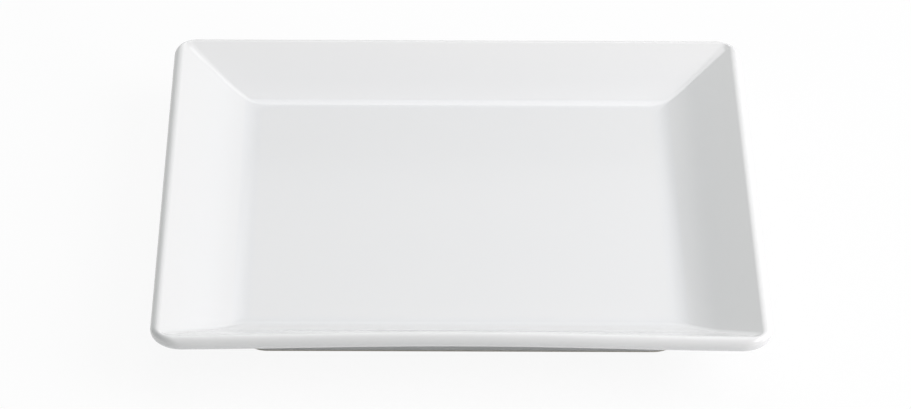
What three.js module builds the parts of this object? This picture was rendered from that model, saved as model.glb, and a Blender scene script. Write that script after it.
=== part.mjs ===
// A square porcelain plate: a flat floor that sweeps up into four walls, a full-round lip and a foot ring.
// It is one fired body under two coats of glaze: one over its face and outside, one in the recess
// inside the foot ring. Millimetres and degrees, +Z up, origin on the table under the plate's middle.
// The near side of the plate is its -Y side.
import * as THREE from "three";
import { mergeGeometries, mergeVertices } from "three/addons/utils/BufferGeometryUtils.js";

// Rim and lip
const RIM_SIDE = 200; // across the outside of the lip
const PLATE_HEIGHT = 22.9; // from the table to the crest of the lip
const LIP_RADIUS = 2.4; // the lip is a full round
const RIM_CORNER_RADIUS = 10.5; // seen from above, outside of the lip
const LIP_INNER_CORNER_RADIUS = 3; // seen from above, where the wall meets the lip
const NEAR_SIDE_LIFT = 1.6; // how far firing has raised the middle of the near side

// Well, which is the hollow that holds the food
const WELL_SIDE = 144.4; // across, where the planes of the floor and the heel of the walls would meet
const WELL_DEPTH = 11.2; // from the crest of the lip to the floor
const WELL_FILLET = 18; // between the floor and the heel
const HEEL_LENGTH = 7; // the heel is the flatter foot of a wall, which then sweeps up
const HEEL_SHARE = 0.7; // of the slope that a straight wall would have
const WALL_CORNER_RADIUS = 1.8; // seen from above, on the heel and at the top of the sweep
const FLOOR_CORNER_RADIUS = 3; // seen from above, at the edge of the flat floor
const FLOOR_THICKNESS = 6;

// Foot ring and the recess inside it
const FOOT_SIDE = 144; // across the outside of the foot, where it leaves the walls
const FOOT_HEIGHT = 4; // of the foot's outer face
const FOOT_WIDTH = 4.5; // of the ring at the table
const FOOT_DRAFT = 8; // slope of the foot's two faces
const FOOT_CORNER_RADIUS = 9; // seen from above, outside of the foot
const FOOT_FILLET = 1.5; // between the foot and the walls
const FOOT_EDGE_RADIUS = 0.8; // along the two edges of the standing face
const RECESS_FILLET = 2; // between the foot and the recess

// Glaze
const GLAZE_THICKNESS = 0.35;
const BARE_MARGIN = 0.4; // bare clay between the foot's rounded edges and the glaze

// Facets
const FACET_ANGLE = 15; // longest turn of one step round an arc of the section
const FACET_LENGTH = 3; // longest run of such a step
const CORNER_STEPS = 6; // round each corner, seen from above
const NEAR_SIDE_STEPS = 10; // along the side that firing has raised

// Sizes that follow from those above. A section point has u, its distance from the plate's middle
// measured square to a side, and z, its height.
const LIP_U = RIM_SIDE / 2 - LIP_RADIUS;
const LIP_Z = PLATE_HEIGHT - LIP_RADIUS;
const WELL_U = WELL_SIDE / 2;
const FLOOR_Z = PLATE_HEIGHT - WELL_DEPTH;
const FOOT_U = FOOT_SIDE / 2;
const RECESS_Z = FLOOR_Z - FLOOR_THICKNESS;
const GLAZE_LINE_Z = FOOT_EDGE_RADIUS + BARE_MARGIN;
const DRAFT = THREE.MathUtils.degToRad(FOOT_DRAFT);
const QUARTER = Math.PI / 2;

// Slope of the straight line that touches the lip's round and passes through a point below it:
// above the round for the inside of the wall, below it for the outside.
function slopeToLip(u, z, side) {
  const across = LIP_U - u;
  const up = LIP_Z - z;
  return Math.atan2(up, across) + side * Math.asin(LIP_RADIUS / Math.hypot(across, up));
}
const HEEL_SLOPE = HEEL_SHARE * slopeToLip(WELL_U, FLOOR_Z, 1);
const WALL_U = WELL_U + HEEL_LENGTH * Math.cos(HEEL_SLOPE); // where the planes of heel and wall would meet
const WALL_Z = FLOOR_Z + HEEL_LENGTH * Math.sin(HEEL_SLOPE);
const INNER_SLOPE = slopeToLip(WALL_U, WALL_Z, 1);
const OUTER_SLOPE = slopeToLip(FOOT_U, FOOT_HEIGHT, -1);

// Two arcs between the floor and the wall: the fillet, and the sweep, which takes the rest of the heel.
const FILLET_LENGTH = WELL_FILLET * Math.tan(HEEL_SLOPE / 2); // from where the planes would meet
const FLOOR_U = WELL_U - FILLET_LENGTH;
const FILLET_TOP_U = WELL_U + FILLET_LENGTH * Math.cos(HEEL_SLOPE);
const FILLET_TOP_Z = FLOOR_Z + FILLET_LENGTH * Math.sin(HEEL_SLOPE);
const SWEEP_LENGTH = HEEL_LENGTH - FILLET_LENGTH;
const SWEEP_RADIUS = SWEEP_LENGTH / Math.tan((INNER_SLOPE - HEEL_SLOPE) / 2);
const SWEEP_U = FILLET_TOP_U - SWEEP_RADIUS * Math.sin(HEEL_SLOPE);
const SWEEP_Z = FILLET_TOP_Z + SWEEP_RADIUS * Math.cos(HEEL_SLOPE);
const SWEEP_TOP_U = WALL_U + SWEEP_LENGTH * Math.cos(INNER_SLOPE);

// Centres of the corner arcs seen from above, as distances from the plate's middle along both sides.
const LIP_INNER_TANGENT_U = LIP_U - LIP_RADIUS * Math.sin(INNER_SLOPE);
const FLOOR_CENTRE = FLOOR_U - FLOOR_CORNER_RADIUS;
const FILLET_TOP_CENTRE = FILLET_TOP_U - WALL_CORNER_RADIUS;
const SWEEP_TOP_CENTRE = SWEEP_TOP_U - WALL_CORNER_RADIUS;
const LIP_INNER_CENTRE = LIP_INNER_TANGENT_U - LIP_INNER_CORNER_RADIUS;
const LIP_OUTER_CENTRE = RIM_SIDE / 2 - RIM_CORNER_RADIUS;
const FOOT_CENTRE = FOOT_U - FOOT_CORNER_RADIUS;

// Points of one arc of the section. The corner's centre moves evenly from the first point's to the
// last's, and lift is the share of the near side's rise that the arc takes.
function arc(u, z, radius, from, to, firstCentre, lastCentre, lift) {
  const turn = Math.abs(to - from);
  const longest = Math.min(THREE.MathUtils.degToRad(FACET_ANGLE), FACET_LENGTH / radius);
  const steps = Math.ceil(turn / longest);
  const curve = new THREE.EllipseCurve(u, z, radius, radius, from, to, to < from);
  return curve.getPoints(steps).map((point, i) => ({
    u: point.x,
    z: point.y,
    centre: THREE.MathUtils.lerp(firstCentre, lastCentre, i / steps),
    lift,
  }));
}

const onAxis = (z) => ({ u: 0, z, centre: 0, lift: 0 });
const onFoot = (u, z) => ({ u, z, centre: FOOT_CENTRE, lift: 0 });

// Half-widths of the foot's outer and inner faces at a height, taken into the clay by inset.
function footOuterU(z, inset) {
  return FOOT_U - (FOOT_HEIGHT - z) * Math.tan(DRAFT) - inset / Math.cos(DRAFT);
}
function footInnerU(z, inset) {
  return footOuterU(0, 0) - FOOT_WIDTH - z * Math.tan(DRAFT) + inset / Math.cos(DRAFT);
}

// The recess, from the plate's middle out to the glaze's edge on the foot's inner face.
function recessCurve(inset) {
  const open = QUARTER + DRAFT; // angle of air between the recess and the foot
  const middle = Math.PI + open / 2;
  const away = RECESS_FILLET / Math.sin(open / 2);
  const u = footInnerU(RECESS_Z, 0) + away * Math.cos(middle);
  const z = RECESS_Z + away * Math.sin(middle);
  return [
    onAxis(RECESS_Z + inset),
    ...arc(u, z, RECESS_FILLET + inset, QUARTER, DRAFT, FOOT_CENTRE, FOOT_CENTRE, 0),
    onFoot(footInnerU(GLAZE_LINE_Z, inset), GLAZE_LINE_Z),
  ];
}

// The bare tip of the foot: its two rounded edges with the standing face between them.
function footTipCurve() {
  const r = FOOT_EDGE_RADIUS;
  const innerU = footInnerU(r, GLAZE_THICKNESS + r);
  const outerU = footOuterU(r, GLAZE_THICKNESS + r);
  return [
    ...arc(innerU, r, r, DRAFT - Math.PI, -QUARTER, FOOT_CENTRE, FOOT_CENTRE, 0),
    ...arc(outerU, r, r, -QUARTER, -DRAFT, FOOT_CENTRE, FOOT_CENTRE, 0),
  ];
}

// Outside and face: from the glaze's edge on the foot's outer face, up the wall, over the lip and
// down into the well, to the plate's middle.
function faceCurve(inset) {
  const open = QUARTER + OUTER_SLOPE + DRAFT; // angle of air between the wall and the foot
  const middle = (OUTER_SLOPE - QUARTER - DRAFT) / 2;
  const away = FOOT_FILLET / Math.sin(open / 2);
  const footU = FOOT_U + away * Math.cos(middle);
  const footZ = FOOT_HEIGHT + away * Math.sin(middle);
  const foot = [Math.PI - DRAFT, QUARTER + OUTER_SLOPE];
  const lipUnder = [OUTER_SLOPE - QUARTER, 0];
  const lipOver = [0, QUARTER + INNER_SLOPE];
  const sweep = [INNER_SLOPE - QUARTER, HEEL_SLOPE - QUARTER];
  const fillet = [HEEL_SLOPE - QUARTER, -QUARTER];
  const lipRadius = LIP_RADIUS - inset;
  return [
    onFoot(footOuterU(GLAZE_LINE_Z, inset), GLAZE_LINE_Z),
    ...arc(footU, footZ, FOOT_FILLET + inset, ...foot, FOOT_CENTRE, FOOT_CENTRE, 0),
    ...arc(LIP_U, LIP_Z, lipRadius, ...lipUnder, LIP_OUTER_CENTRE, LIP_OUTER_CENTRE, 1),
    ...arc(LIP_U, LIP_Z, lipRadius, ...lipOver, LIP_OUTER_CENTRE, LIP_INNER_CENTRE, 1).slice(1),
    ...arc(SWEEP_U, SWEEP_Z, SWEEP_RADIUS + inset, ...sweep, SWEEP_TOP_CENTRE, FILLET_TOP_CENTRE, 0),
    ...arc(FLOOR_U, FLOOR_Z + WELL_FILLET, WELL_FILLET + inset, ...fillet,
      FILLET_TOP_CENTRE, FLOOR_CENTRE, 0).slice(1),
    onAxis(FLOOR_Z - inset),
  ];
}

// Places round the plate where the section is drawn, anticlockwise from the near right corner: where
// the corner's centre lies, as signed shares of the section's own centre, and the way outwards.
function stationsRound() {
  const stations = [];
  const corners = [[1, -1], [1, 1], [-1, 1], [-1, -1]];
  corners.forEach(([x, y], corner) => {
    for (let step = 0; step <= CORNER_STEPS; step++) {
      const angle = QUARTER * (corner - 1 + step / CORNER_STEPS);
      stations.push({ x, y, outX: Math.cos(angle), outY: Math.sin(angle) });
    }
  });
  for (let step = 1; step < NEAR_SIDE_STEPS; step++) {
    stations.push({ x: (2 * step) / NEAR_SIDE_STEPS - 1, y: -1, outX: 0, outY: -1 });
  }
  return stations;
}
const STATIONS = stationsRound();

// Rise of the near side, which is nothing at its ends and full in its middle.
function nearSideRise(x, y) {
  const along = Math.min(1, Math.abs(x) / LIP_U);
  return y < 0 ? NEAR_SIDE_LIFT * (1 - along ** 2) ** 2 : 0;
}

// A lathe whose rings are rounded squares: three.js turns the section, and each ring's points then
// move to their places on the square.
function squareLathe(section) {
  const profile = section.map((point) => new THREE.Vector2(point.u, point.z));
  const geometry = new THREE.LatheGeometry(profile, STATIONS.length);
  const position = geometry.getAttribute("position");
  for (let turn = 0; turn <= STATIONS.length; turn++) {
    const station = STATIONS[turn % STATIONS.length];
    section.forEach((point, i) => {
      const reach = point.u - point.centre;
      const x = station.x * point.centre + station.outX * reach;
      const y = station.y * point.centre + station.outY * reach;
      const z = point.z + point.lift * nearSideRise(x, y);
      position.setXYZ(turn * section.length + i, x, y, z);
    });
  }
  geometry.deleteAttribute("normal");
  geometry.deleteAttribute("uv");
  return geometry;
}

// The same surface facing the other way.
function turnedOver(geometry) {
  const turned = geometry.clone();
  const index = turned.getIndex();
  for (let i = 0; i < index.count; i += 3) {
    const second = index.getX(i + 1);
    index.setX(i + 1, index.getX(i + 2));
    index.setX(i + 2, second);
  }
  return turned;
}

// One closed solid from surfaces that meet edge to edge.
function closedSolid(...surfaces) {
  const solid = mergeVertices(mergeGeometries(surfaces));
  solid.computeVertexNormals();
  return solid;
}

// The clay stops one glaze thickness inside the finished surface, except on the bare foot.
const clayFace = faceCurve(GLAZE_THICKNESS);
const clayRecess = recessCurve(GLAZE_THICKNESS);
const glazedFace = faceCurve(0);
const glazedRecess = recessCurve(0);

const bareClay = new THREE.MeshStandardMaterial({ color: 0xebe6db, roughness: 0.85, metalness: 0 });
const glaze = new THREE.MeshStandardMaterial({ color: 0xe8e8ea, roughness: 0.15, metalness: 0 });

// The fired clay: floor, walls, lip and foot ring are one piece.
function porcelainBody() {
  const solid = closedSolid(squareLathe([...clayRecess, ...footTipCurve(), ...clayFace]));
  return new THREE.Mesh(solid, bareClay);
}

// The coat over the well, the lip and the outside, down to the foot's bare tip.
function glazeCoat() {
  const outside = squareLathe([clayFace[0], ...glazedFace]);
  return new THREE.Mesh(closedSolid(outside, turnedOver(squareLathe(clayFace))), glaze);
}

// The coat inside the foot ring, which the bare foot parts from the other.
function recessGlaze() {
  const outside = squareLathe([...glazedRecess, clayRecess.at(-1)]);
  return new THREE.Mesh(closedSolid(outside, turnedOver(squareLathe(clayRecess))), glaze);
}

const plate = new THREE.Group();
const pieces = { porcelain_body: porcelainBody(), glaze_coat: glazeCoat(), recess_glaze: recessGlaze() };
for (const [name, mesh] of Object.entries(pieces)) {
  mesh.name = name;
  plate.add(mesh);
}

export default plate;
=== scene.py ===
# %% [markdown]
# # A square porcelain plate
# The plate is pressed from clay, dipped in white glaze and fired. Everything here is built around the
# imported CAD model, in metres, with the table at z = 0 and the plate's middle over the origin. The near side
# of the plate, the one the camera sees first, is its -Y side.

# %% The frame
import math
from collections import namedtuple

import bmesh
import bpy
from mathutils import Matrix, Vector


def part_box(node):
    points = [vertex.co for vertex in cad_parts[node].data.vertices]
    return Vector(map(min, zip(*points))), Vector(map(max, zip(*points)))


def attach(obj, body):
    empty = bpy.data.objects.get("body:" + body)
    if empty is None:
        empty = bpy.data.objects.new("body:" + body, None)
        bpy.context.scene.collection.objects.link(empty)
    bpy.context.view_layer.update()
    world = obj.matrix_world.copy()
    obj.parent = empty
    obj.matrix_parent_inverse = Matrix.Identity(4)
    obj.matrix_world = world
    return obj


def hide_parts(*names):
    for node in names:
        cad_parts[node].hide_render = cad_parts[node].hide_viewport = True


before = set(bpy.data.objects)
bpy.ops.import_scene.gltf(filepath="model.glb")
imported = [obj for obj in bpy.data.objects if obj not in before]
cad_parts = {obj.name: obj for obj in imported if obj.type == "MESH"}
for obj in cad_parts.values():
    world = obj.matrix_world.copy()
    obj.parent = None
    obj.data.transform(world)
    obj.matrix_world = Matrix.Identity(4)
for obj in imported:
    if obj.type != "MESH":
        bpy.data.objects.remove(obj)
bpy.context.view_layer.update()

# %% [markdown]
# ## The camera
# The photograph was taken from a good way off with a long lens, about 31 degrees above the table, so the
# far side of the plate is only a little shorter than the near side. The camera is turned and rolled by a
# fraction of a degree, as a hand-set tripod is. It aims at a point on the level of the lip's middle.

# %% The camera
MM = 0.001
PLATE_HEIGHT = 22.9 * MM
LIP_RADIUS = 2.4 * MM
LIP_HEIGHT = PLATE_HEIGHT - LIP_RADIUS
CAMERA_ELEVATION = math.radians(30.898)
CAMERA_TURN = math.radians(-0.710)
CAMERA_ROLL = math.radians(0.575)
CAMERA_DISTANCE = 1.591
CAMERA_AIM = Vector((-1.33 * MM, -11.28 * MM, LIP_HEIGHT))
LENS_MM = 187.35
SENSOR_MM = 36.0


def place_camera():
    back = Vector((
        math.sin(CAMERA_TURN) * math.cos(CAMERA_ELEVATION),
        -math.cos(CAMERA_TURN) * math.cos(CAMERA_ELEVATION),
        math.sin(CAMERA_ELEVATION),
    ))
    level_right = Vector((0, 0, 1)).cross(back).normalized()
    level_up = back.cross(level_right)
    right = level_right * math.cos(CAMERA_ROLL) + level_up * math.sin(CAMERA_ROLL)
    up = back.cross(right)
    data = bpy.data.cameras.new("studio_camera")
    data.lens = LENS_MM
    data.sensor_width = SENSOR_MM
    camera = bpy.data.objects.new("studio_camera", data)
    turned = Matrix((right, up, back)).transposed().to_4x4()
    camera.matrix_world = Matrix.Translation(CAMERA_AIM + back * CAMERA_DISTANCE) @ turned
    bpy.context.scene.collection.objects.link(camera)
    bpy.context.scene.camera = camera
    return camera


camera = place_camera()
print("camera at", tuple(round(c, 4) for c in camera.location))

# %% [markdown]
# ## The section
# Cut the plate across the middle of a side and the cut shows its section: the floor, a fillet, the wall's
# flatter heel, which sweeps up into the straight wall, a full-round lip, the underside of the wall and the
# foot ring. Each point of the section is a half-width and a height. Seen from above, every such point runs
# round the plate as a square with round corners, so it also has a corner radius. The clay lies one glaze
# thickness inside the finished surface, so both surfaces come from one function with an inset: arcs keep
# their centres and only their radii change.

# %% Sizes of the section
RIM_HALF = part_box("glaze_coat")[1].x
LIP_HALF = RIM_HALF - LIP_RADIUS
WELL_HALF = 72.2 * MM
FLOOR_HEIGHT = 11.7 * MM
WELL_FILLET = 18.0 * MM
HEEL_LENGTH = 7.0 * MM
HEEL_SHARE = 0.7
FLOOR_THICKNESS = 6.0 * MM
FOOT_HALF = 72.0 * MM
FOOT_HEIGHT = 4.0 * MM
FOOT_WIDTH = 4.5 * MM
FOOT_DRAFT = math.radians(8.0)
FOOT_FILLET = 1.5 * MM
FOOT_EDGE_RADIUS = 0.8 * MM
RECESS_FILLET = 2.0 * MM
GLAZE_THICKNESS = 0.35 * MM
BARE_MARGIN = 0.4 * MM
RIM_CORNER_RADIUS = 10.5 * MM
LIP_INNER_CORNER_RADIUS = 3.0 * MM
WALL_CORNER_RADIUS = 1.8 * MM
FLOOR_CORNER_RADIUS = 3.0 * MM
FOOT_CORNER_RADIUS = 9.0 * MM
RECESS_HEIGHT = FLOOR_HEIGHT - FLOOR_THICKNESS
GLAZE_LINE = FOOT_EDGE_RADIUS + BARE_MARGIN
QUARTER = math.pi / 2


def slope_to_lip(half, height, side):
    across = LIP_HALF - half
    up = LIP_HEIGHT - height
    return math.atan2(up, across) + side * math.asin(LIP_RADIUS / math.hypot(across, up))


HEEL_SLOPE = HEEL_SHARE * slope_to_lip(WELL_HALF, FLOOR_HEIGHT, 1)
WALL_HALF = WELL_HALF + HEEL_LENGTH * math.cos(HEEL_SLOPE)
WALL_HEIGHT = FLOOR_HEIGHT + HEEL_LENGTH * math.sin(HEEL_SLOPE)
INNER_SLOPE = slope_to_lip(WALL_HALF, WALL_HEIGHT, 1)
OUTER_SLOPE = slope_to_lip(FOOT_HALF, FOOT_HEIGHT, -1)
print("walls slope", round(math.degrees(INNER_SLOPE), 2), round(math.degrees(OUTER_SLOPE), 2), "degrees")

# %% [markdown]
# ## Rings and arcs
# Round stretches of the section are arcs: a centre, a radius, and the angles where they start and end.
# Blender could draw them as curves, but a point here has to carry more than its place, so each is a small
# record, a ring. Its centre is the distance, along both sides, from the plate's middle to the centre of its
# corner arcs. Lift is the share of the near side's rise that it takes, and depth says how thick the glaze
# lies there.

# %% Rings and arcs
Ring = namedtuple("Ring", "half height centre lift depth")
ARC_STEP = math.radians(2)
FEWEST_STEPS = 4
THIN, EVEN, POOLED = 0.0, 0.35, 0.7


def arc(half, height, radius, start, end, first_centre, last_centre, lift, depth):
    steps = max(FEWEST_STEPS, math.ceil(abs(end - start) / ARC_STEP))
    rings = []
    for i in range(steps + 1):
        share = i / steps
        angle = start + (end - start) * share
        centre = first_centre + (last_centre - first_centre) * share
        across, up = half + radius * math.cos(angle), height + radius * math.sin(angle)
        rings.append(Ring(across, up, centre, lift, depth))
    return rings


def straight(first, last, steps):
    """The rings strictly between two others, on straight lines."""
    return [Ring(*(a + (b - a) * i / steps for a, b in zip(first, last))) for i in range(1, steps)]


print("an arc has a ring every", round(math.degrees(ARC_STEP), 1), "degrees")

# %% [markdown]
# ## Where the arcs lie
# A fillet touches both of the lines that it joins. So it ends at its radius times the tangent of half the
# turn, measured from the corner where the lines would meet. The floor's fillet has a radius of its own. The
# sweep into the wall takes what is left of the heel, so its radius follows from its length. The same rule
# that a bevel uses is written out here, because the clay's arcs need the same centres as the glaze's.

# %% Where the arcs lie
FILLET_LENGTH = WELL_FILLET * math.tan(HEEL_SLOPE / 2)
FLOOR_HALF = WELL_HALF - FILLET_LENGTH
FILLET_TOP_HALF = WELL_HALF + FILLET_LENGTH * math.cos(HEEL_SLOPE)
FILLET_TOP_HEIGHT = FLOOR_HEIGHT + FILLET_LENGTH * math.sin(HEEL_SLOPE)
SWEEP_LENGTH = HEEL_LENGTH - FILLET_LENGTH
SWEEP_RADIUS = SWEEP_LENGTH / math.tan((INNER_SLOPE - HEEL_SLOPE) / 2)
SWEEP_HALF = FILLET_TOP_HALF - SWEEP_RADIUS * math.sin(HEEL_SLOPE)
SWEEP_HEIGHT = FILLET_TOP_HEIGHT + SWEEP_RADIUS * math.cos(HEEL_SLOPE)
SWEEP_TOP_HALF = WALL_HALF + SWEEP_LENGTH * math.cos(INNER_SLOPE)
FLOOR_CENTRE = FLOOR_HALF - FLOOR_CORNER_RADIUS
FILLET_TOP_CENTRE = FILLET_TOP_HALF - WALL_CORNER_RADIUS
SWEEP_TOP_CENTRE = SWEEP_TOP_HALF - WALL_CORNER_RADIUS
LIP_INNER_CENTRE = LIP_HALF - LIP_RADIUS * math.sin(INNER_SLOPE) - LIP_INNER_CORNER_RADIUS
LIP_OUTER_CENTRE = RIM_HALF - RIM_CORNER_RADIUS
FOOT_CENTRE = FOOT_HALF - FOOT_CORNER_RADIUS
print("sweep radius", round(SWEEP_RADIUS / MM, 1), "mm, flat floor", round(2 * FLOOR_HALF / MM, 1), "mm")

# %% [markdown]
# ## The face
# The face is all that is dipped in one go: from the glaze's edge on the foot, up under the wall, over the
# lip and down the wall to the floor. Its rings are listed in that order, because the solids are extruded
# from one ring to the next. Long straight walls get a few rings between their ends, so that the near side's
# rise can bend them smoothly.

# %% Rings of the face
def foot_outer_half(height, inset):
    return FOOT_HALF - (FOOT_HEIGHT - height) * math.tan(FOOT_DRAFT) - inset / math.cos(FOOT_DRAFT)


WALL_STEPS = 8
FLOOR_MARGIN = 2.0 * MM


def face_rings(inset):
    """From the glaze's edge on the foot, up the outside, over the lip and down to the well's floor."""
    open_angle = QUARTER + OUTER_SLOPE + FOOT_DRAFT
    middle = (OUTER_SLOPE - QUARTER - FOOT_DRAFT) / 2
    away = FOOT_FILLET / math.sin(open_angle / 2)
    foot = arc(FOOT_HALF + away * math.cos(middle),
               FOOT_HEIGHT + away * math.sin(middle), FOOT_FILLET + inset,
               math.pi - FOOT_DRAFT, QUARTER + OUTER_SLOPE, FOOT_CENTRE, FOOT_CENTRE, 0, POOLED)
    under = arc(LIP_HALF, LIP_HEIGHT, LIP_RADIUS - inset,
                OUTER_SLOPE - QUARTER, 0, LIP_OUTER_CENTRE, LIP_OUTER_CENTRE, 1, EVEN)
    over = arc(LIP_HALF, LIP_HEIGHT, LIP_RADIUS - inset,
               0, QUARTER + INNER_SLOPE, LIP_OUTER_CENTRE, LIP_INNER_CENTRE, 1, THIN)
    sweep = arc(SWEEP_HALF, SWEEP_HEIGHT, SWEEP_RADIUS + inset,
                INNER_SLOPE - QUARTER, HEEL_SLOPE - QUARTER, SWEEP_TOP_CENTRE, FILLET_TOP_CENTRE, 0, EVEN)
    fillet = arc(FLOOR_HALF, FLOOR_HEIGHT + WELL_FILLET, WELL_FILLET + inset,
                 HEEL_SLOPE - QUARTER, -QUARTER, FILLET_TOP_CENTRE, FLOOR_CENTRE, 0, POOLED)
    edge = Ring(foot_outer_half(GLAZE_LINE, inset), GLAZE_LINE, FOOT_CENTRE, 0, EVEN)
    floor = Ring(FLOOR_HALF - FLOOR_MARGIN, FLOOR_HEIGHT - inset, FLOOR_CENTRE - FLOOR_MARGIN, 0, EVEN)
    return [
        edge, *foot, *straight(foot[-1], under[0], WALL_STEPS), *under,
        *over[1:], *straight(over[-1], sweep[0], WALL_STEPS), *sweep, *fillet[1:], floor,
    ]


clay_face, glazed_face = face_rings(GLAZE_THICKNESS), face_rings(0)
print("rings on the face:", len(glazed_face))

# %% [markdown]
# ## The foot and its recess
# The plate stands on a narrow ring, so that it doesn't rock on an uneven table. The ring's sides lean a
# little, which lets the pressed clay leave its mould. Inside it the bottom is set back, and glazed. Between
# the two coats the tip is bare, and each coat ends in a small round bead, where the melted glaze drew back.

# %% Rings of the foot
def foot_inner_half(height, inset):
    at_table = foot_outer_half(0, 0) - FOOT_WIDTH
    return at_table - height * math.tan(FOOT_DRAFT) + inset / math.cos(FOOT_DRAFT)


def recess_rings(inset):
    """From the middle of the recess out to the glaze's edge on the foot's inner face."""
    open_angle = QUARTER + FOOT_DRAFT
    middle = math.pi + open_angle / 2
    away = RECESS_FILLET / math.sin(open_angle / 2)
    fillet = arc(foot_inner_half(RECESS_HEIGHT, 0) + away * math.cos(middle),
                 RECESS_HEIGHT + away * math.sin(middle), RECESS_FILLET + inset,
                 QUARTER, FOOT_DRAFT, FOOT_CENTRE, FOOT_CENTRE, 0, POOLED)
    ceiling = Ring(fillet[0].half - FLOOR_MARGIN, fillet[0].height, FOOT_CENTRE - FLOOR_MARGIN, 0, EVEN)
    edge = Ring(foot_inner_half(GLAZE_LINE, inset), GLAZE_LINE, FOOT_CENTRE, 0, EVEN)
    return [ceiling, *fillet, edge]


def foot_tip_rings():
    """The bare tip of the foot, between the two glaze edges."""
    r = FOOT_EDGE_RADIUS
    inner = arc(foot_inner_half(r, GLAZE_THICKNESS + r), r, r,
                FOOT_DRAFT - math.pi, -QUARTER, FOOT_CENTRE, FOOT_CENTRE, 0, EVEN)
    outer = arc(foot_outer_half(r, GLAZE_THICKNESS + r), r, r,
                -QUARTER, -FOOT_DRAFT, FOOT_CENTRE, FOOT_CENTRE, 0, EVEN)
    return inner + outer


def bead_rings(first, last):
    """The glaze's edge on the foot: a half-round bead that hangs between its two surfaces."""
    middle = (first.half + last.half) / 2
    radius = (last.half - first.half) / 2
    return arc(middle, first.height, radius, math.pi, 2 * math.pi, FOOT_CENTRE, FOOT_CENTRE, 0, POOLED)[1:-1]


clay_recess, glazed_recess = recess_rings(GLAZE_THICKNESS), recess_rings(0)
print("rings in the recess:", len(glazed_recess), "and on the bare tip:", len(foot_tip_rings()))

# %% [markdown]
# ## The solids
# A real plate is pressed over a mould, and a modeller could start from a box and bevel it. But the corner
# radius changes all the way from the floor to the lip, which one bevel can't do. So the first section point
# becomes a square with bevelled corners, and its outline is extruded from each section point to the next,
# like planking a hull over its frames. Every point of the outline remembers where on the square it stands,
# so it can be moved to its place on the next one. The first and last outlines are closed by flat faces.

# %% The first outline
CORNER_SEGMENTS = 16
SIDE_CUTS = 23
SIDES = 4


def first_outline(bm, ring):
    """A flat square with round corners and cut sides, whose points remember where they stand on it."""
    at = Matrix.Translation((0, 0, ring.height))
    corners = bmesh.ops.create_grid(bm, x_segments=1, y_segments=1, size=ring.half, matrix=at)["verts"]
    bmesh.ops.bevel(bm, geom=corners, offset=ring.half - ring.centre, offset_type="OFFSET",
                    segments=CORNER_SEGMENTS, profile=0.5, affect="VERTICES", material=-1)
    sides = sorted(bm.edges, key=lambda edge: edge.calc_length())[-SIDES:]
    bmesh.ops.subdivide_edges(bm, edges=sides, cuts=SIDE_CUTS)
    stand, out = bm.verts.layers.float_vector["stand"], bm.verts.layers.float_vector["out"]
    for vert in bm.verts:
        centre = [max(-ring.centre, min(ring.centre, c)) for c in vert.co.xy]
        vert[stand] = Vector((*centre, 0)) / ring.centre
        vert[out] = (Vector((*vert.co.xy, 0)) - Vector((*centre, 0))).normalized()
    return list(bm.verts), list(bm.edges)


print("points round the plate:", SIDES * (CORNER_SEGMENTS + 1 + SIDE_CUTS))

# %% [markdown]
# ## The near side's rise
# In the kiln the middle of the near side has risen a little, which shows in the photograph as a lip that
# arches up between its corners. The rise fades to nothing at the two corners, at the floor and at the foot.
# A lattice could bend the finished meshes, but a formula for the rise moves the clay and its glaze by
# exactly the same amount, so that they stay in touch.

# %% The rise, and a ring in its place
NEAR_SIDE_LIFT = 1.6 * MM


def near_side_rise(place):
    """How far the lip has risen in the kiln: nothing at the near side's ends, most in its middle."""
    along = min(1.0, abs(place.x) / LIP_HALF)
    return NEAR_SIDE_LIFT * (1 - along ** 2) ** 2 if place.y < 0 else 0.0


def set_ring(bm, verts, ring):
    """Moves an outline's points to their places on a ring."""
    stand, out = bm.verts.layers.float_vector["stand"], bm.verts.layers.float_vector["out"]
    depth = bm.verts.layers.float["glaze_depth"]
    for vert in verts:
        place = vert[stand] * ring.centre + vert[out] * (ring.half - ring.centre)
        vert.co = (place.x, place.y, ring.height + ring.lift * near_side_rise(place))
        vert[depth] = ring.depth


print("the near lip rises", round(near_side_rise(Vector((0, -LIP_HALF, 0))) / MM, 2), "mm in its middle")

# %% [markdown]
# ## From rings to solids
# Extruding an edge loop copies it and joins the copy to the old one by a band of faces. The copy still lies
# on the old loop, so its points are then set on the next ring. The last loop is filled, which closes the
# solid, and the normals are turned outwards once for the whole mesh. The layers that only guided the
# modelling are removed, and the glaze's depth stays on the mesh for the material to read.

# %% Rings to solids
def solid_from_rings(name, rings):
    bm = bmesh.new()
    for layer in ("stand", "out"):
        bm.verts.layers.float_vector.new(layer)
    bm.verts.layers.float.new("glaze_depth")
    verts, edges = first_outline(bm, rings[0])
    set_ring(bm, verts, rings[0])
    for ring in rings[1:]:
        made = bmesh.ops.extrude_edge_only(bm, edges=edges)["geom"]
        verts = [item for item in made if isinstance(item, bmesh.types.BMVert)]
        fresh = set(verts)
        edges = [item for item in made
                 if isinstance(item, bmesh.types.BMEdge) and fresh.issuperset(item.verts)]
        set_ring(bm, verts, ring)
    bmesh.ops.edgeloop_fill(bm, edges=edges)
    bmesh.ops.recalc_face_normals(bm, faces=bm.faces)
    for face in bm.faces:
        face.smooth = True
    for layer in ("stand", "out"):
        bm.verts.layers.float_vector.remove(bm.verts.layers.float_vector[layer])
    mesh = bpy.data.meshes.new(name)
    bm.to_mesh(mesh)
    print(name, len(mesh.vertices), "vertices,", len(mesh.polygons), "faces,",
          round(bm.calc_volume() * 1e6, 1), "cm3")
    bm.free()
    piece = bpy.data.objects.new(name, mesh)
    bpy.context.scene.collection.objects.link(piece)
    return piece


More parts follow.
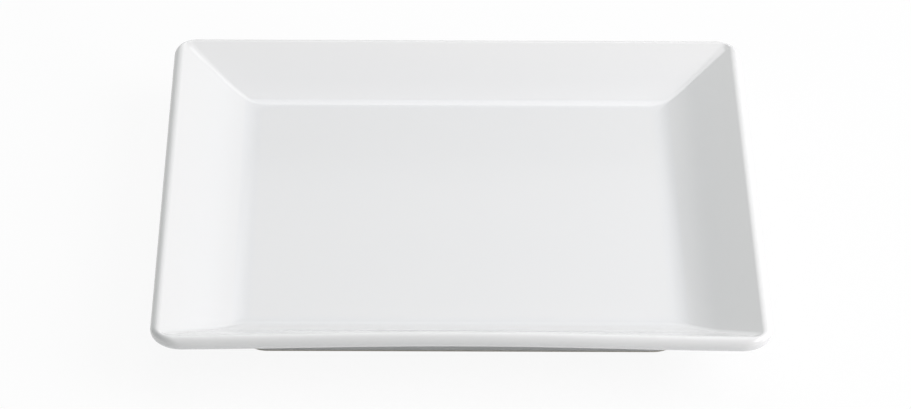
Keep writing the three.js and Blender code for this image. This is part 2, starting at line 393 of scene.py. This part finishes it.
# %% [markdown]
# ## The clay and its two coats
# The clay's surface runs from the recess round the foot's tip to the face. Each coat runs over its two
# surfaces, the clay's and its own, with the bead between them. The three stand for the CAD model's three
# nodes, and they all ride on its one body, because nothing on a plate moves.

# %% The clay and its two coats of glaze
clay_body = solid_from_rings("clay_body", clay_recess + foot_tip_rings() + clay_face)
plate_glaze = solid_from_rings(
    "plate_glaze", clay_face[::-1] + bead_rings(clay_face[0], glazed_face[0]) + glazed_face)
recess_glaze = solid_from_rings(
    "recess_coat", glazed_recess + bead_rings(glazed_recess[-1], clay_recess[-1]) + clay_recess[::-1])

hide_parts("porcelain_body")
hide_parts("glaze_coat")
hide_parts("recess_glaze")
for piece, slot in ((clay_body, "bare_porcelain"), (plate_glaze, "glaze"), (recess_glaze, "glaze")):
    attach(piece, "root")

# %% [markdown]
# ## The white glaze
# Plate glaze is clear glass over white clay. It is smooth, hard and glossy, and its colour hardly varies:
# it runs thin over the lip, where the clay warms it, and pools in the fillets, where it looks a shade
# cooler. Its surface is not quite flat, because it froze as it flowed, so highlights waver a little.
#
# A photograph could be wrapped round the plate, but it would carry that photograph's light with it. So the
# glaze is made from the mesh's depth layer and three noises, all on Object coordinates. A broad noise and
# the depth choose the colour on a ramp, a finer one varies the roughness, and the finest ripples the
# surface by a bump.

# %% Glaze material
def new_material(name):
    material = bpy.data.materials.new(name)
    material.use_nodes = True
    return material, material.node_tree.nodes, material.node_tree.links


def glaze_material():
    material, nodes, links = new_material("white_glaze")
    shader = nodes["Principled BSDF"]
    shader.inputs["IOR"].default_value = 1.5
    place = nodes.new("ShaderNodeTexCoord")
    depth = nodes.new("ShaderNodeAttribute")
    depth.attribute_name = "glaze_depth"
    cloud = nodes.new("ShaderNodeTexNoise")
    cloud.inputs["Scale"].default_value = 22
    cloud.inputs["Detail"].default_value = 3
    links.new(place.outputs["Object"], cloud.inputs["Vector"])
    spread = nodes.new("ShaderNodeMath")
    spread.operation = "MULTIPLY_ADD"
    spread.inputs[1].default_value = 1 - POOLED
    links.new(cloud.outputs["Fac"], spread.inputs[0])
    links.new(depth.outputs["Fac"], spread.inputs[2])
    tint = nodes.new("ShaderNodeValToRGB")
    tint.color_ramp.elements[0].color = (0.815, 0.81, 0.805, 1)
    tint.color_ramp.elements[1].color = (0.785, 0.79, 0.8, 1)
    links.new(spread.outputs[0], tint.inputs["Fac"])
    links.new(tint.outputs["Color"], shader.inputs["Base Color"])
    sheen = nodes.new("ShaderNodeTexNoise")
    sheen.inputs["Scale"].default_value = 60
    sheen.inputs["Detail"].default_value = 4
    links.new(place.outputs["Object"], sheen.inputs["Vector"])
    gloss = nodes.new("ShaderNodeMapRange")
    gloss.inputs["To Min"].default_value = 0.04
    gloss.inputs["To Max"].default_value = 0.1
    links.new(sheen.outputs["Fac"], gloss.inputs["Value"])
    links.new(gloss.outputs["Result"], shader.inputs["Roughness"])
    flow = nodes.new("ShaderNodeTexNoise")
    flow.inputs["Scale"].default_value = 240
    flow.inputs["Detail"].default_value = 2
    links.new(place.outputs["Object"], flow.inputs["Vector"])
    peel = nodes.new("ShaderNodeBump")
    peel.inputs["Strength"].default_value = 0.25
    peel.inputs["Distance"].default_value = 0.00004
    links.new(flow.outputs["Fac"], peel.inputs["Height"])
    links.new(peel.outputs["Normal"], shader.inputs["Normal"])
    return material


white_glaze = glaze_material()
for piece in (plate_glaze, recess_glaze):
    piece.data.materials.append(white_glaze)
print("the glaze has", len(white_glaze.node_tree.nodes), "nodes")

# %% [markdown]
# ## The bare foot
# Glaze would stick to the kiln shelf, so the foot's standing face is wiped clean before firing. The fired
# clay there is matte, a little creamier than the glaze, and finely gritty. One fine noise makes the grit's
# colour and its bump, so that the dark specks are also the low ones.

# %% Bare clay material
def bare_clay_material():
    material, nodes, links = new_material("bare_clay")
    shader = nodes["Principled BSDF"]
    place = nodes.new("ShaderNodeTexCoord")
    grit = nodes.new("ShaderNodeTexNoise")
    grit.inputs["Scale"].default_value = 1800
    grit.inputs["Detail"].default_value = 6
    links.new(place.outputs["Object"], grit.inputs["Vector"])
    tint = nodes.new("ShaderNodeValToRGB")
    tint.color_ramp.elements[0].color = (0.66, 0.61, 0.53, 1)
    tint.color_ramp.elements[0].position = 0.3
    tint.color_ramp.elements[1].color = (0.83, 0.79, 0.71, 1)
    tint.color_ramp.elements[1].position = 0.6
    links.new(grit.outputs["Fac"], tint.inputs["Fac"])
    links.new(tint.outputs["Color"], shader.inputs["Base Color"])
    shader.inputs["Roughness"].default_value = 0.85
    bump = nodes.new("ShaderNodeBump")
    bump.inputs["Strength"].default_value = 0.5
    bump.inputs["Distance"].default_value = 0.0001
    links.new(grit.outputs["Fac"], bump.inputs["Height"])
    links.new(bump.outputs["Normal"], shader.inputs["Normal"])
    return material


bare_clay = bare_clay_material()
clay_body.data.materials.append(bare_clay)
print("the bare clay has", len(bare_clay.node_tree.nodes), "nodes")

# %% [markdown]
# ## The studio
# The plate stands on a white table in a white room. In the photograph the table is burnt out to pure white,
# so here it shines by itself for the rays that are seen: those from the camera, and those that a glossy or
# clear surface sends on. The rest of its brightness is plain matte white under the lamps, which keeps the
# plate's soft shadow. Rays that only carry light see the table as it is, so the plate is not lit from below
# by the trick.

# %% Table
FLOOR_REACH = 3.0
FLOOR_GLOW = 0.91


def seen_rays(nodes, links):
    """1 for rays that are seen, straight or by way of gloss or glass, 0 for those that only carry light."""
    path = nodes.new("ShaderNodeLightPath")
    last = path.outputs["Is Camera Ray"]
    for kind in ("Is Glossy Ray", "Is Transmission Ray"):
        either = nodes.new("ShaderNodeMath")
        either.operation = "MAXIMUM"
        links.new(last, either.inputs[0])
        links.new(path.outputs[kind], either.inputs[1])
        last = either.outputs[0]
    return last


def studio_floor():
    bm = bmesh.new()
    bmesh.ops.create_grid(bm, x_segments=1, y_segments=1, size=FLOOR_REACH)
    mesh = bpy.data.meshes.new("studio_floor")
    bm.to_mesh(mesh)
    bm.free()
    floor = bpy.data.objects.new("studio_floor", mesh)
    bpy.context.scene.collection.objects.link(floor)
    material, nodes, links = new_material("white_table")
    nodes.remove(nodes["Principled BSDF"])
    matte = nodes.new("ShaderNodeBsdfDiffuse")
    matte.inputs["Color"].default_value = (0.9, 0.9, 0.9, 1)
    bright = nodes.new("ShaderNodeEmission")
    share = nodes.new("ShaderNodeMath")
    share.operation = "MULTIPLY"
    share.inputs[1].default_value = FLOOR_GLOW
    links.new(seen_rays(nodes, links), share.inputs[0])
    mix = nodes.new("ShaderNodeMixShader")
    links.new(share.outputs[0], mix.inputs["Fac"])
    links.new(matte.outputs[0], mix.inputs[1])
    links.new(bright.outputs[0], mix.inputs[2])
    links.new(mix.outputs[0], nodes["Material Output"].inputs["Surface"])
    floor.data.materials.append(material)
    return floor


floor = studio_floor()
print("the table reaches", FLOOR_REACH, "m each way")

# %% [markdown]
# ## Light
# The left wall is the brightest part of the plate and the right wall the darkest, so the main lights are
# two big softboxes on the right, one of them nearer to the camera. A panel behind the plate makes the
# bright line where the far wall meets the floor: the fillet there mirrors it. A ceiling panel is mirrored
# in the far wall. Two dim panels stand low behind the plate: the floor mirrors the upper one and grows
# brighter towards the camera, and the near wall, which is seen almost edge on, mirrors the lower one. The
# white room fills the shadows. It is a trace greener than the lamps, as the shaded wall is in the
# photograph.

# %% Room and lights
ROOM_LIGHT = 0.3
ROOM_TINT = (0.955, 1.0, 0.985, 1)
LAMP_TINT = (1.0, 0.982, 1.0)


def studio_room():
    world = bpy.data.worlds.new("white_room")
    world.use_nodes = True
    bpy.context.scene.world = world
    nodes, links = world.node_tree.nodes, world.node_tree.links
    room = nodes["Background"]
    room.inputs["Color"].default_value = ROOM_TINT
    strength = nodes.new("ShaderNodeMapRange")
    strength.inputs["To Min"].default_value = ROOM_LIGHT
    strength.inputs["To Max"].default_value = 1.0
    links.new(seen_rays(nodes, links), strength.inputs["Value"])
    links.new(strength.outputs["Result"], room.inputs["Strength"])
    return world


def soft_light(name, azimuth, elevation, distance, width, height, brightness):
    """A softbox that faces the plate. Azimuth runs from +X towards +Y; brightness 1 looks white."""
    data = bpy.data.lights.new(name, "AREA")
    data.shape = "RECTANGLE"
    data.size = width
    data.size_y = height
    data.color = LAMP_TINT
    data.energy = math.pi * width * height * brightness
    light = bpy.data.objects.new(name, data)
    turn, lift = math.radians(azimuth), math.radians(elevation)
    away = Vector((math.cos(turn) * math.cos(lift), math.sin(turn) * math.cos(lift), math.sin(lift)))
    facing = away.to_track_quat("Z", "Y").to_matrix().to_4x4()
    light.matrix_world = Matrix.Translation(away * distance) @ facing
    bpy.context.scene.collection.objects.link(light)
    return light


studio_room()
lights = [
    soft_light("key_right", 0, 42, distance=1.5, width=1.0, height=1.0, brightness=3.4),
    soft_light("front_right", -30, 30, distance=1.5, width=0.8, height=0.8, brightness=4.4),
    soft_light("back_panel", 90, 48.5, distance=1.5, width=0.9, height=0.5, brightness=1.9),
    soft_light("ceiling", 90, 78, distance=1.5, width=0.8, height=1.0, brightness=1.1),
    soft_light("backdrop_top", 90, 35.2, distance=1.5, width=0.9, height=0.26, brightness=0.36),
    soft_light("backdrop_foot", 90, 18, distance=2.0, width=0.8, height=0.4, brightness=0.42),
]
bpy.context.scene.view_settings.view_transform = "Standard"
print("lights:", [light.name for light in lights])
